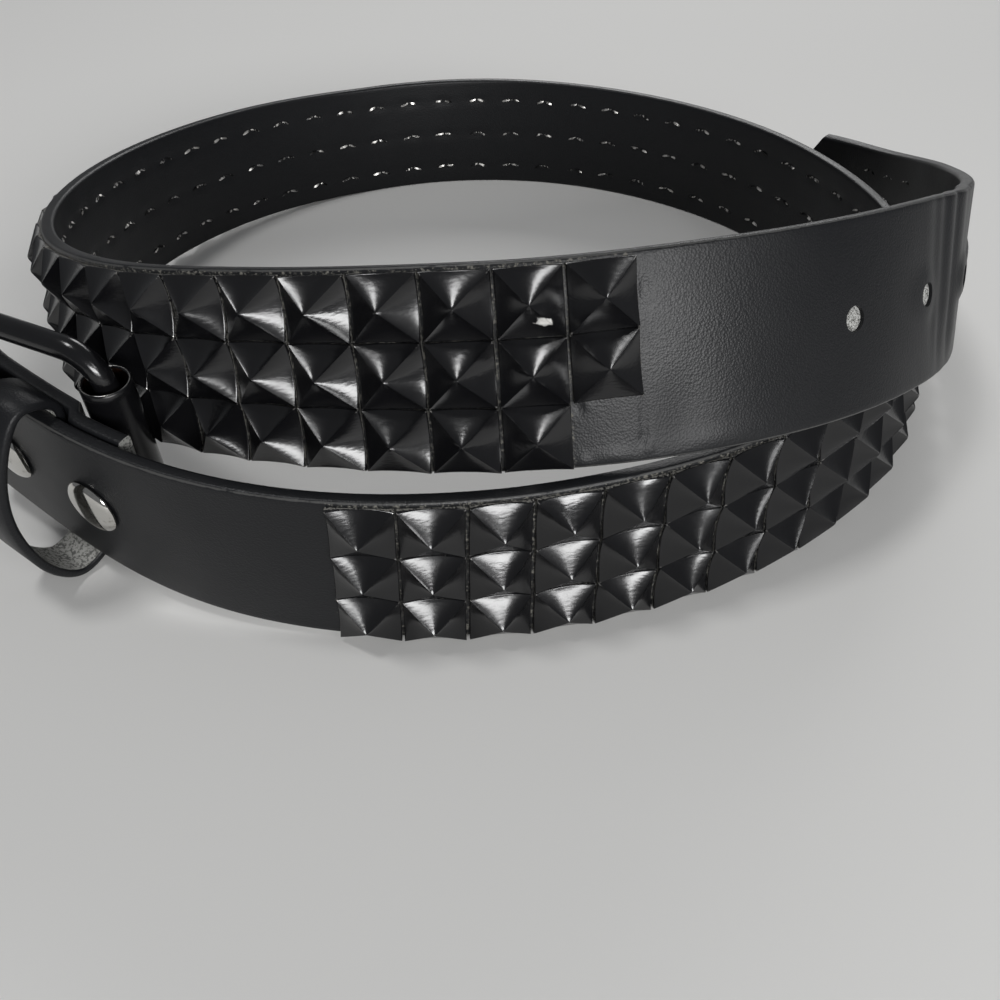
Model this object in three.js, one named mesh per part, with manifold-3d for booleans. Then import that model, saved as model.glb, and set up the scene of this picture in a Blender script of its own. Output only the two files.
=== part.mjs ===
// A studded leather belt, loosely coiled and standing on its lower edge.
// Millimetres, +Z up, with the origin under the middle of the coil, on the floor.
//
// Every piece that follows the strap is first made straight, in belt space:
// x runs along the strap from the buckle's fold to the tip, y runs across it from
// the lower edge to the upper one, and z stands out of its outer face.
// place() then lays belt space along the route of the coil.

import * as THREE from "three";
import { mergeVertices } from "three/addons/utils/BufferGeometryUtils.js";
import Module from "manifold-3d";

// Driving dimensions
const gap = 0.3;                 // clearance that touching pieces keep

const strap_width = 38;
const strap_thick = 3.1;
const plain_run = 98;            // from the fold's bar to the first stud
const hole_lead = 45.6;          // from the last stud to the first hole
const hole_pitch = 25.4;
const hole_count = 5;
const hole_dia = 5;
const tip_stud_lead = 26.4;      // from the last hole to the studs of the tip
const tip_plain = 29.8;            // bare leather past them
const tip_corner = 11;           // how far the pointed end's corners are cut back

const stud_columns = 60;
const stud_rows = 3;
const short_rows = 2;            // rows left in the last column, where a stud is lost
const tip_columns = 3;
const stud_pitch = 13.0;        // from column to column
const stud_long = 12.4;          // a stud, along the strap
const stud_margin = 0.4;         // leather above and below the rows
const stud_height = 4.8;         // from the leather to a stud's point
const stud_rim = 0.9;            // from the leather to the front of their band

const wire_dia = 5;              // buckle frame
const bar_dia = 4.4;             // the frame's hinge bar, in the fold
const frame_long = 46;           // from the hinge bar to the roller's bar
const frame_play = 2.4;          // between the strap's edge and each arm
const frame_corner = 8;          // bend radius of the wire
const roller_inset = 10.35;      // how far inward of the strap the roller lies
const roller_dia = 10.2;
const roller_wall = 0.8;
const prong_thick = 3.2;
const prong_long = 44;
const prong_swing = 150;         // degrees from the frame round to the prong

const flap_long = 62;            // strap folded back behind itself
const slot_long = 12;            // prong slot, each way from the fold
const snap_first = 20;           // from the fold to the first snap
const snap_pitch = 25.4;
const snap_dia = 12.5;
const snap_dome = 1.9;
const snap_post = 3.6;
const snap_back = 7;

const keeper_thick = 1.9;
const keeper_wide = 11;
const keeper_reach = 14.5;       // how far the loop stands out of the strap
const keeper_drop = 4.2;         // how far it hangs below and above the strap

// Places along the strap
const studs_long = stud_columns * stud_pitch;
const holes_start = plain_run + studs_long + hole_lead;
const tip_studs_start = holes_start + (hole_count - 1) * hole_pitch + tip_stud_lead;
const belt_long = tip_studs_start + tip_columns * stud_pitch + tip_plain;

// What the second turn must clear: the first turn's upper edge where it crosses
// over it, and the first turn's studs where it runs down beside them.
const cross_height = strap_width + 2 * gap + 1;
const stack = strap_thick + stud_height + gap;
const route_step = 0.00732 * belt_long;   // distance of the turns in the table below

// The coil, a row for each section of the belt, from the fold to the tip.
// along: share of the belt's length. heading: degrees in plan. lift: lower edge,
// as a share of the crossing height. lean: degrees that the upper edge tips in.
// beside: share of the extra step out that clears the first turn's studs.
const route = [
  { along: 0.00, heading: -37.5, lift: 0.290, lean: -4, beside: 0 },
  { along: 0.04, heading: -31.0, lift: 0.130, lean: -4, beside: 0 },
  { along: 0.08, heading: -9.5, lift: 0.040, lean: -3.5, beside: 0 },
  { along: 0.12, heading: 8.5, lift: 0.000, lean: -1, beside: 0 },
  { along: 0.16, heading: 25.0, lift: 0.000, lean: 1, beside: 0 },
  { along: 0.20, heading: 47.0, lift: 0.000, lean: 3, beside: 0 },
  { along: 0.24, heading: 72.0, lift: 0.000, lean: 3.5, beside: 0 },
  { along: 0.28, heading: 94.5, lift: 0.000, lean: 2, beside: 0 },
  { along: 0.32, heading: 113.5, lift: 0.000, lean: 2, beside: 0 },
  { along: 0.36, heading: 135.0, lift: 0.000, lean: 2.5, beside: 0 },
  { along: 0.40, heading: 156.5, lift: 0.000, lean: 2, beside: 0 },
  { along: 0.44, heading: 180.5, lift: 0.000, lean: 0, beside: 0 },
  { along: 0.48, heading: 205.0, lift: 0.000, lean: 0, beside: 0 },
  { along: 0.52, heading: 227.5, lift: 0.045, lean: -1, beside: 0 },
  { along: 0.56, heading: 250.0, lift: 0.110, lean: -2, beside: 0 },
  { along: 0.60, heading: 272.0, lift: 0.220, lean: -1, beside: 0 },
  { along: 0.64, heading: 294.0, lift: 0.375, lean: 1.5, beside: 0 },
  { along: 0.68, heading: 318.0, lift: 0.580, lean: 7, beside: 0 },
  { along: 0.72, heading: 338.0, lift: 0.795, lean: 14, beside: 0 },
  { along: 0.76, heading: 354.5, lift: 0.940, lean: 20, beside: 0 },
  { along: 0.80, heading: 377.0, lift: 1.000, lean: 23.5, beside: 0 },
  { along: 0.84, heading: 401.5, lift: 0.905, lean: 21, beside: 0.5 },
  { along: 0.88, heading: 424.5, lift: 0.650, lean: 10.5, beside: 1 },
  { along: 0.92, heading: 436.0, lift: 0.350, lean: 8.5, beside: 1 },
  { along: 0.96, heading: 452.5, lift: 0.090, lean: 14, beside: 0.5 },
  { along: 1.00, heading: 486.5, lift: 0.000, lean: 22, beside: 0 },
];

const route_steps = 560;

function layRoute() {
  const shares = route.map((row) => row.along);
  const values = route.flatMap((row) => [row.heading, row.lift, row.lean, row.beside]);
  const sections = new THREE.CubicInterpolant(shares, values, 4);
  const read = (share) => {
    const [heading, lift, lean, beside] = sections.evaluate(THREE.MathUtils.clamp(share, 0, 1));
    return { heading, lift: Math.max(0, lift) * cross_height, lean, beside };
  };
  const step = belt_long / route_steps;
  const stations = [];
  const spot = new THREE.Vector2(0, 0);
  for (let i = 0; i <= route_steps; i++) {
    const share = i / route_steps;
    const row = read(share);
    const half = 0.5 / route_steps;
    const rise = (read(share + half).lift - read(share - half).lift) / step;
    const flat = Math.sqrt(1 - rise * rise);
    const turn = THREE.MathUtils.degToRad(row.heading);
    const lean = THREE.MathUtils.degToRad(row.lean);
    const along = new THREE.Vector3(Math.cos(turn) * flat, Math.sin(turn) * flat, rise);
    const side = new THREE.Vector3(Math.sin(turn), -Math.cos(turn), 0);
    const rising = new THREE.Vector3().crossVectors(side, along);
    const up = rising.clone().multiplyScalar(Math.cos(lean)).addScaledVector(side, -Math.sin(lean));
    const out = side.clone().multiplyScalar(Math.cos(lean)).addScaledVector(rising, Math.sin(lean));
    const lowest = row.lift + Math.abs(Math.sin(lean)) * strap_thick / 2;
    const base = new THREE.Vector3(spot.x, spot.y, lowest);
    base.addScaledVector(side, row.beside * (stack - route_step));
    stations.push({ base, along, up, out });
    const next = THREE.MathUtils.degToRad(read(share + half).heading);
    spot.x += Math.cos(next) * flat * step;
    spot.y += Math.sin(next) * flat * step;
  }
  return stations;
}

const stations = layRoute();

// Belt space to the coil
function place(x, y, z) {
  const at = THREE.MathUtils.clamp(x / belt_long, 0, 1) * route_steps;
  const i = Math.min(Math.floor(at), route_steps - 1);
  const [a, b, mix] = [stations[i], stations[i + 1], at - i];
  const blend = (key) => a[key].clone().lerp(b[key], mix);
  const past = x - THREE.MathUtils.clamp(x, 0, belt_long);
  return blend("base").addScaledVector(blend("along"), past)
    .addScaledVector(blend("up"), y).addScaledVector(blend("out"), z);
}

// The frame of axes of the coil at one place: x along, y up, z out
function placeFrame(x, y, z) {
  const i = Math.round(THREE.MathUtils.clamp(x / belt_long, 0, 1) * route_steps);
  const { along, up, out } = stations[i];
  return new THREE.Matrix4().makeBasis(along, up, out).setPosition(place(x, y, z));
}

// Solids
const wasm = await Module();
wasm.setup();

function closed(geometry) {
  const bare = geometry.clone();
  for (const name of Object.keys(bare.attributes)) {
    if (name !== "position") bare.deleteAttribute(name);
  }
  return mergeVertices(bare, 1e-4);
}

function toSolid(geometry) {
  const shape = closed(geometry);
  return new wasm.Manifold(new wasm.Mesh({
    numProp: 3,
    vertProperties: new Float32Array(shape.attributes.position.array),
    triVerts: new Uint32Array(shape.index.array),
  }));
}

function toGeometry(solid) {
  const mesh = solid.getMesh();
  const geometry = new THREE.BufferGeometry();
  geometry.setAttribute("position", new THREE.BufferAttribute(mesh.vertProperties, 3));
  geometry.setIndex(new THREE.BufferAttribute(mesh.triVerts, 1));
  geometry.computeVertexNormals();
  return geometry;
}

function wrap(geometry) {
  const laid = closed(geometry);
  const spots = laid.attributes.position;
  for (let i = 0; i < spots.count; i++) {
    const spot = place(spots.getX(i), spots.getY(i), spots.getZ(i));
    spots.setXYZ(i, spot.x, spot.y, spot.z);
  }
  return laid;
}

// A block of belt space between two corners
function block(x0, x1, y0, y1, z0, z1, xCuts = 1) {
  const box = new THREE.BoxGeometry(x1 - x0, y1 - y0, z1 - z0, xCuts, 1, 1);
  return box.translate((x0 + x1) / 2, (y0 + y1) / 2, (z0 + z1) / 2);
}

// Strap: the long run, the fold round the hinge bar and the flap behind it
const half = strap_thick / 2;
const fold_radius = bar_dia / 2 + gap + half;
const fold_long = Math.PI * fold_radius;
const keeper_at = snap_first + snap_pitch / 2;
const keeper_end = keeper_at + keeper_wide / 2 + gap;
const snap_second = snap_first + snap_pitch;
const flap_at_keeper = -(2 * half + 2 * gap + keeper_thick);
const flap_at_end = -(2 * half + gap);

// How far behind the strap the middle of the flap lies, at a distance from the fold
function flapMiddle(x) {
  const early = THREE.MathUtils.smoothstep(x, 0, snap_first - snap_back / 2);
  const late = THREE.MathUtils.smoothstep(x, keeper_end, snap_second - snap_back / 2);
  const wide = THREE.MathUtils.lerp(-2 * fold_radius, flap_at_keeper, early);
  return THREE.MathUtils.lerp(wide, flap_at_end, late);
}

// The unrolled strap to belt space: below zero it turns round the bar and comes back
function foldBack(x, y, z) {
  if (x >= 0) return [x, y, z];
  const turn = -x / fold_radius;
  if (turn <= Math.PI) {
    const reach = fold_radius + z;
    return [-Math.sin(turn) * reach, y, Math.cos(turn) * reach - fold_radius];
  }
  const back = -x - fold_long;
  return [back, y, flapMiddle(back) - z];
}

function makeBareStrap() {
  const runCuts = 156;
  const foldCuts = 8;
  const flapCuts = [0.08, 0.16, 0.26].map((share) => share * flap_long);
  flapCuts.push(snap_first, keeper_at, keeper_end, snap_second - snap_back / 2,
    snap_second + snap_back / 2, flap_long);
  const cuts = [...flapCuts.reverse().map((x) => -fold_long - x)];
  for (let i = foldCuts; i > 0; i--) cuts.push(-fold_long * i / foldCuts);
  for (let i = 0; i <= runCuts; i++) cuts.push(belt_long * i / runCuts);
  const last = cuts.length - 1;
  const box = closed(new THREE.BoxGeometry(last, strap_width, strap_thick, last, 1, 1));
  const spots = box.attributes.position;
  for (let i = 0; i < spots.count; i++) {
    const x = cuts[Math.round(spots.getX(i) + last / 2)];
    spots.setXYZ(i, ...foldBack(x, spots.getY(i) + strap_width / 2, spots.getZ(i)));
  }
  return toSolid(wrap(box));
}

// A round pin of belt space standing through the strap
function pin(x, y, dia, z0, z1, sides = 16) {
  const cylinder = new THREE.CylinderGeometry(dia / 2, dia / 2, z1 - z0, sides);
  return cylinder.rotateX(Math.PI / 2).applyMatrix4(placeFrame(x, y, (z0 + z1) / 2));
}

function makeStrap() {
  let solid = makeBareStrap();
  const middle = strap_width / 2;
  for (let i = 0; i < hole_count; i++) {
    const x = holes_start + i * hole_pitch;
    solid = solid.subtract(toSolid(pin(x, middle, hole_dia, -strap_thick, strap_thick)));
  }
  for (let i = 0; i < 2; i++) {
    const x = [snap_first, snap_second][i];
    const bore = snap_post + 2 * gap;
    solid = solid.subtract(toSolid(pin(x, middle, bore, flapMiddle(x) - strap_thick, strap_thick)));
  }
  const slot_wide = prong_thick + 4 * gap;
  const slot = block(-slot_long, slot_long, middle - slot_wide / 2, middle + slot_wide / 2,
    -2 * fold_radius - strap_thick, strap_thick, 6);
  solid = solid.subtract(toSolid(wrap(slot)));
  for (const edge of [0, strap_width]) {
    const inward = edge === 0 ? 1 : -1;
    const corner = new THREE.Shape([
      new THREE.Vector2(belt_long - tip_corner, edge - inward * strap_thick),
      new THREE.Vector2(belt_long + strap_thick, edge - inward * strap_thick),
      new THREE.Vector2(belt_long + strap_thick, edge + inward * tip_corner),
      new THREE.Vector2(belt_long, edge + inward * tip_corner),
      new THREE.Vector2(belt_long - tip_corner, edge),
    ]);
    const cut = new THREE.ExtrudeGeometry(corner, { depth: 4 * strap_thick, bevelEnabled: false });
    solid = solid.subtract(toSolid(wrap(cut.translate(0, 0, -2 * strap_thick))));
  }
  return toGeometry(solid);
}

// Studs: square pyramids in rows and columns, one closed sheet with their band
const row_pitch = (strap_width - 2 * stud_margin) / stud_rows;
const band_back = half + gap;
const band_front = half + stud_rim;

function makeStuds(start, columns, lastRows) {
  const lines = [0, stud_long / 2, stud_long];
  const [xCuts, yCuts] = [3 * columns - 1, 2 * stud_rows];
  const sheet = new THREE.BoxGeometry(xCuts, yCuts, 1, xCuts, yCuts, 1);
  const spots = sheet.attributes.position;
  const lead = start + (stud_pitch - stud_long) / 2;
  const points = new Set();
  for (let i = 0; i < spots.count; i++) {
    const column = Math.round(spots.getX(i) + xCuts / 2);
    const row = Math.round(spots.getY(i) + yCuts / 2);
    const front = spots.getZ(i) > 0;
    const point = front && column % 3 === 1 && row % 2 === 1;
    if (point) points.add(i);
    const x = lead + Math.floor(column / 3) * stud_pitch + lines[column % 3];
    const z = point ? half + stud_height : front ? band_front : band_back;
    spots.setXYZ(i, x, stud_margin + row * row_pitch / 2, z);
  }
  const corners = sheet.index;
  for (let i = 0; i < corners.count; i += 6) {
    const [a, b, d, , c] = corners.array.slice(i, i + 6);
    if (points.has(a) || points.has(c)) corners.array.set([a, b, c, a, c, d], i);
  }
  let field = toSolid(wrap(sheet));
  if (lastRows < stud_rows) {
    const last = start + (columns - 1) * stud_pitch;
    const high = stud_margin + (stud_rows - lastRows) * row_pitch;
    const lost = block(last, last + stud_pitch, -1, high, 0, half + stud_height + 1, 2);
    field = field.subtract(toSolid(wrap(lost)));
  }
  return toGeometry(field);
}

// Snaps: a domed cap outside, a post through both layers and a disc behind them
function makeSnap(x) {
  const post = snap_post / 2;
  const face = half + gap;
  const back = flapMiddle(x) - half - gap;
  const cap = snap_dia / 2;
  const points = [[0, back - 1.4], [snap_back / 2 - 0.6, back - 1.4], [snap_back / 2, back - 0.8],
    [snap_back / 2, back], [post, back], [post, face], [cap, face], [cap, face + 0.5]];
  const domeCuts = 4;
  for (let i = 1; i < domeCuts; i++) {
    const a = Math.PI / 2 * i / domeCuts;
    points.push([cap * Math.cos(a), face + 0.5 + (snap_dome - 0.5) * Math.sin(a)]);
  }
  points.push([0, face + snap_dome]);
  const lathe = new THREE.LatheGeometry(points.map(([r, y]) => new THREE.Vector2(r, y)), 20);
  return lathe.rotateX(Math.PI / 2).applyMatrix4(placeFrame(x, strap_width / 2, 0));
}

// Keeper: a loop that comes out from between strap and flap and stands out in front
function keeperCurve() {
  const back = -(half + gap + keeper_thick / 2);
  const top = strap_width + keeper_drop;
  return new THREE.CatmullRomCurve3([
    new THREE.Vector3(back, strap_width * 0.12, 0),
    new THREE.Vector3(back, strap_width * 0.5, 0),
    new THREE.Vector3(back, strap_width * 0.88, 0),
    new THREE.Vector3(back * 0.72, strap_width + keeper_thick * 1.1, 0),
    new THREE.Vector3(keeper_reach * 0.36, top, 0),
    new THREE.Vector3(keeper_reach * 0.82, strap_width * 0.84, 0),
    new THREE.Vector3(keeper_reach, strap_width * 0.5, 0),
    new THREE.Vector3(keeper_reach * 0.84, strap_width * 0.12, 0),
    new THREE.Vector3(keeper_reach * 0.4, -keeper_drop, 0),
    new THREE.Vector3(back * 0.72, -keeper_thick * 1.1, 0),
  ], true, "catmullrom", 0.5);
}

function makeKeeper() {
  const curve = keeperCurve();
  const cuts = 44;
  const [outer, inner] = [[], []];
  for (let i = 0; i < cuts; i++) {
    const spot = curve.getPointAt(i / cuts);
    const way = curve.getTangentAt(i / cuts);
    const side = new THREE.Vector2(-way.y, way.x).multiplyScalar(keeper_thick / 2);
    outer.push(new THREE.Vector2(spot.x + side.x, spot.y + side.y));
    inner.push(new THREE.Vector2(spot.x - side.x, spot.y - side.y));
  }
  const ring = new THREE.Shape(outer);
  ring.holes.push(new THREE.Path(inner.reverse()));
  const loop = new THREE.ExtrudeGeometry(ring, { depth: keeper_wide, bevelEnabled: false });
  return loop.translate(0, 0, -keeper_wide / 2).rotateY(-Math.PI / 2);
}

// Buckle: its own axes are x from the hinge bar to the roller, y up, z out
const middle = strap_width / 2;
const arm = middle + frame_play + wire_dia / 2;
const buckleFrame = placeFrame(0, middle, -fold_radius)
  .multiply(new THREE.Matrix4().makeRotationY(Math.asin(roller_inset / frame_long)));

function makeFrame() {
  const bend = new THREE.Path();
  bend.moveTo(0, arm);
  bend.lineTo(frame_long - frame_corner, arm);
  bend.absarc(frame_long - frame_corner, arm - frame_corner, frame_corner, Math.PI / 2, 0, true);
  bend.lineTo(frame_long, -arm + frame_corner);
  bend.absarc(frame_long - frame_corner, -arm + frame_corner, frame_corner, 0, -Math.PI / 2, true);
  bend.lineTo(0, -arm);
  const spots = [];
  for (const part of bend.curves) {
    const cuts = part.isLineCurve ? 2 : 6;
    for (let i = spots.length ? 1 : 0; i <= cuts; i++) {
      const spot = part.getPoint(i / cuts);
      spots.push(new THREE.Vector3(spot.x, spot.y, 0));
    }
  }
  const round = new THREE.Shape().absarc(0, 0, wire_dia / 2, 0, Math.PI * 2);
  const bent = new THREE.CatmullRomCurve3(spots, false, "centripetal");
  const wire = new THREE.ExtrudeGeometry(round, {
    steps: 30, curveSegments: 6, bevelEnabled: false, extrudePath: bent,
  });
  const bar = new THREE.CylinderGeometry(bar_dia / 2, bar_dia / 2, 2 * arm, 12)
    .translate(bar_dia / 2 + gap, 0, 0);
  return toGeometry(toSolid(wire).add(toSolid(bar)).translate([-bar_dia / 2 - gap, 0, 0]));
}

function makeRoller() {
  const long = 2 * (arm - frame_corner) + wire_dia;
  const [r, bore] = [roller_dia / 2, roller_dia / 2 - roller_wall];
  const profile = [[bore, -long / 2], [r, -long / 2], [r, long / 2], [bore, long / 2], [bore, -long / 2]];
  return new THREE.LatheGeometry(profile.map(([x, y]) => new THREE.Vector2(x, y)), 20);
}

function makeProng() {
  const eye = bar_dia / 2 + gap;
  const ring = new THREE.LatheGeometry([
    [eye, -prong_thick / 2], [eye + 1.2, -prong_thick / 2], [eye + 1.2, prong_thick / 2],
    [eye, prong_thick / 2], [eye, -prong_thick / 2],
  ].map(([x, y]) => new THREE.Vector2(x, y)), 16);
  const shape = new THREE.Shape([
    [eye + 0.5, -prong_thick / 2], [prong_long - prong_thick, -prong_thick / 2],
    [prong_long, -prong_thick / 5], [prong_long, prong_thick / 5],
    [prong_long - prong_thick, prong_thick / 2], [eye + 0.5, prong_thick / 2],
  ].map(([x, y]) => new THREE.Vector2(x, y)));
  const shank = new THREE.ExtrudeGeometry(shape, { depth: prong_thick * 0.8, bevelEnabled: false });
  shank.translate(0, 0, -prong_thick * 0.4);
  return toGeometry(toSolid(ring).add(toSolid(shank)));
}

// Materials
const leather = { color: 0x17181b, roughness: 0.5, metalness: 0 };
const lacquer = { color: 0x0b0b0d, roughness: 0.22, metalness: 0.6 };
const chrome = { color: 0xc9c8c2, roughness: 0.15, metalness: 1 };

function piece(name, geometry, look) {
  const mesh = new THREE.Mesh(geometry, new THREE.MeshStandardMaterial(look));
  mesh.name = name;
  return mesh;
}

// Assembly
const belt = new THREE.Group();
belt.add(piece("strap", makeStrap(), leather));
belt.add(piece("stud_field", makeStuds(plain_run, stud_columns, short_rows), lacquer));
belt.add(piece("tip_studs", makeStuds(tip_studs_start, tip_columns, stud_rows), lacquer));
belt.add(piece("snap_1", makeSnap(snap_first), chrome));
belt.add(piece("snap_2", makeSnap(snap_second), chrome));

const keeper = new THREE.Group();
placeFrame(keeper_at, 0, 0).decompose(keeper.position, keeper.quaternion, keeper.scale);
keeper.add(piece("keeper_loop", makeKeeper(), leather));
belt.add(keeper);

const buckle = new THREE.Group();
buckleFrame.decompose(buckle.position, buckle.quaternion, buckle.scale);
buckle.add(piece("buckle_frame", makeFrame(), lacquer));
const roller = piece("roller", makeRoller(), lacquer);
roller.position.x = frame_long - bar_dia / 2 - gap;
buckle.add(roller);
const prong = piece("prong", makeProng(), lacquer);
prong.rotation.y = THREE.MathUtils.degToRad(prong_swing);
buckle.add(prong);
belt.add(buckle);

// The origin: under the middle of the box round the whole belt
belt.updateMatrixWorld(true);
const box = new THREE.Box3().setFromObject(belt, true);
const centre = box.getCenter(new THREE.Vector3());
belt.position.set(-centre.x, -centre.y, -box.min.z);

export default belt;
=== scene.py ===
# %% [markdown]
# A studded leather belt, loosely coiled and standing on its lower edge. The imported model
# gives every piece its size and place. This script dresses it with finer meshes on the
# same coil and procedural finishes, and adds the floor, the light and the camera. Lengths
# are in millimetres until they are placed.

import math

import bmesh
import bpy
import numpy as np
from mathutils import Matrix, Vector


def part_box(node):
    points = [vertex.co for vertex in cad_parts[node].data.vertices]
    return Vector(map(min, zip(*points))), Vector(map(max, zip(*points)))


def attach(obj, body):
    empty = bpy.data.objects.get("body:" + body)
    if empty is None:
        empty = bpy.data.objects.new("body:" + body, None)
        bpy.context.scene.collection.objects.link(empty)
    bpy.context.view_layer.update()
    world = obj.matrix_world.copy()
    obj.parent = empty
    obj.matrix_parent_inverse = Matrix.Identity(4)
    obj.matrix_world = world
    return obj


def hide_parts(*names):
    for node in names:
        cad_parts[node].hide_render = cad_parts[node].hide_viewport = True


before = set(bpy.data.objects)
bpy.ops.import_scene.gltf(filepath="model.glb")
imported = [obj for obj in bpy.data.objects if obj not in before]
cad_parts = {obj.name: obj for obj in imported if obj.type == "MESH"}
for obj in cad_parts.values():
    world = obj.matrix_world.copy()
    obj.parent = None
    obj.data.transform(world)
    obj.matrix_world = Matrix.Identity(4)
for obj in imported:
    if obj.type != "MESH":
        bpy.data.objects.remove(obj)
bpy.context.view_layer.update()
mm = 0.001
print("nodes:", ", ".join(sorted(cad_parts)))

# %% [markdown]
# A belt is easiest to make while it is straight. In belt space x runs along the strap
# from the fold to the tip, y across it from the lower edge up, and z out of its outer
# face. One function lays belt space along the coil, so strap, studs and legs bend together.

# %% Sizes of the belt
gap = 0.3
strap_width, strap_thick = 38.0, 3.1
half = strap_thick / 2
middle = strap_width / 2

# The studs: a long field that starts after a plain run, and a few columns by the tip
plain_run = 98.0
stud_columns, stud_rows, short_rows, tip_columns = 60, 3, 2, 3
stud_pitch, stud_long, stud_height = 13.0, 12.4, 4.8
margin_above, margin_below = 1.0, 0.3
row_pitch = (strap_width - margin_above - margin_below) / stud_rows
field_top = strap_width - margin_above
last_column = plain_run + (stud_columns - 1) * stud_pitch

# The holes and the tip
hole_lead, hole_pitch, hole_count, hole_dia = 45.6, 25.4, 5, 5.0
tip_stud_lead, tip_plain, tip_corner = 26.4, 29.8, 11.0
holes_start = plain_run + stud_columns * stud_pitch + hole_lead
tip_studs_start = holes_start + (hole_count - 1) * hole_pitch + tip_stud_lead
belt_long = tip_studs_start + tip_columns * stud_pitch + tip_plain

# The buckle; the prong rests turned back by so many degrees
wire_dia, bar_dia, frame_long, frame_play, frame_corner = 5.0, 4.4, 46.0, 2.4, 8.0
roller_inset, roller_dia, roller_wall = 10.35, 10.2, 0.8
prong_thick, prong_long, prong_turn = 3.2, 44.0, 150.0

# What holds the buckle: the flap, its slot, the snaps and the keeper
flap_long, slot_long = 55.0, 12.0
snap_first, snap_pitch = 20.0, 25.4
snap_dia, snap_dome, snap_post, snap_back = 12.5, 1.9, 3.6, 7.0
keeper_thick, keeper_wide, keeper_reach, keeper_drop = 1.9, 11.0, 14.5, 4.2
print("belt length", round(belt_long), "mm")

# %% [markdown]
# The coil is a short table. Its rows are evenly spaced along the belt and give the
# heading in plan, how high the lower edge lies, how far the upper edge leans in, and
# where the second turn steps out to clear the studs of the first. A Catmull-Rom curve
# through the rows gives every place between them.

# %% The route of the coil
cross_height = strap_width + 2 * gap + 1
stack = strap_thick + stud_height + gap
turns_apart = 0.00732 * belt_long  # what the table itself leaves between the turns
route_steps = 560

route = np.array([
    # heading, lift, lean, beside
    [-37.5, 0.29, -4, 0],
    [-31, 0.13, -4, 0],
    [-9.5, 0.04, -3.5, 0],
    [8.5, 0, -1, 0],
    [25, 0, 1, 0],
    [47, 0, 3, 0],
    [72, 0, 3.5, 0],
    [94.5, 0, 2, 0],
    [113.5, 0, 2, 0],
    [135, 0, 2.5, 0],
    [156.5, 0, 2, 0],
    [180.5, 0, 0, 0],
    [205, 0, 0, 0],
    [227.5, 0.045, -1, 0],
    [250, 0.11, -2, 0],
    [272, 0.22, -1, 0],
    [294, 0.375, 1.5, 0],
    [318, 0.58, 7, 0],
    [338, 0.795, 14, 0],
    [354.5, 0.94, 20, 0],
    [377, 1, 23.5, 0],
    [401.5, 0.905, 21, 0.5],
    [424.5, 0.65, 10.5, 1],
    [436, 0.35, 8.5, 1],
    [452.5, 0.09, 14, 0.5],
    [486.5, 0, 22, 0],
])


def catmull_rom(a, b, c, d, p):
    """The point at share p of the way from b to c, on the curve through all four."""
    return b + 0.5 * p * (c - a + p * (2 * a - 5 * b + 4 * c - d + p * (3 * (b - c) + d - a)))


def between_rows(share):
    """Heading, lift, lean and step out at shares of the belt's length."""
    padded = np.vstack([2 * route[0] - route[1], route, 2 * route[-1] - route[-2]])
    at = np.clip(share, 0, 1) * (len(route) - 1)
    i = np.minimum(at.astype(int), len(route) - 2)
    return catmull_rom(*(padded[i + k] for k in range(4)), (at - i)[:, None])


def lift_at(share):
    return np.maximum(between_rows(share)[:, 1], 0) * cross_height


print("rows of the route:", len(route))

# %% [markdown]
# The route is walked once in even steps, which gives the coil's base points and its axes.
# After that any place in belt space is found between two of those stations.

# %% Laying belt space on the coil


def lay_route():
    """The coil's base points and its axes along, up and out, at even steps."""
    step = belt_long / route_steps
    share = np.linspace(0, 1, route_steps + 1)
    ahead = 0.5 / route_steps
    rows = between_rows(share)
    rise = (lift_at(share + ahead) - lift_at(share - ahead)) / step
    flat = np.sqrt(1 - rise**2)
    turn, lean = np.radians(rows[:, 0]), np.radians(rows[:, 2])[:, None]
    along = np.stack([np.cos(turn) * flat, np.sin(turn) * flat, rise], 1)
    side = np.stack([np.sin(turn), -np.cos(turn), np.zeros_like(turn)], 1)
    rising = np.cross(side, along)
    up = rising * np.cos(lean) - side * np.sin(lean)
    out = side * np.cos(lean) + rising * np.sin(lean)
    onward = np.radians(between_rows(share + ahead)[:, 0])
    moves = np.stack([np.cos(onward) * flat, np.sin(onward) * flat], 1) * step
    spot = np.vstack([[0, 0], np.cumsum(moves[:-1], 0)])
    lowest = lift_at(share) + np.abs(np.sin(lean[:, 0])) * half
    base = np.column_stack([spot, lowest]) + side * (rows[:, 3] * (stack - turns_apart))[:, None]
    return base, along, up, out


stations = lay_route()
shift = np.zeros(3)


def place(points):
    """Belt space in millimetres to the coil in metres."""
    x, y, z = np.asarray(points, float).T
    at = np.clip(x / belt_long, 0, 1) * route_steps
    i = np.minimum(at.astype(int), route_steps - 1)
    far = (at - i)[:, None]
    base, along, up, out = (axis[i] * (1 - far) + axis[i + 1] * far for axis in stations)
    past = (x - np.clip(x, 0, belt_long))[:, None]
    spots = base + along * past + up * y[:, None] + out * z[:, None]
    return (spots + shift) * mm


def place_axes(x, y, z):
    """A matrix in metres whose axes are the coil's at one place: along, up and out."""
    i = round(min(max(x / belt_long, 0), 1) * route_steps)
    axes = np.column_stack([axis[i] for axis in stations[1:]])
    matrix = Matrix(axes.tolist()).to_4x4()
    matrix.translation = Vector(place([[x, y, z]])[0])
    return matrix


print("route stations:", len(stations[0]))

# %% [markdown]
# At the buckle the strap turns round the hinge bar and comes back behind itself as a
# flap. It stays one straight slab whose x goes below zero there, so that it can be cut
# while it is flat, and a second function folds it.

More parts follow.
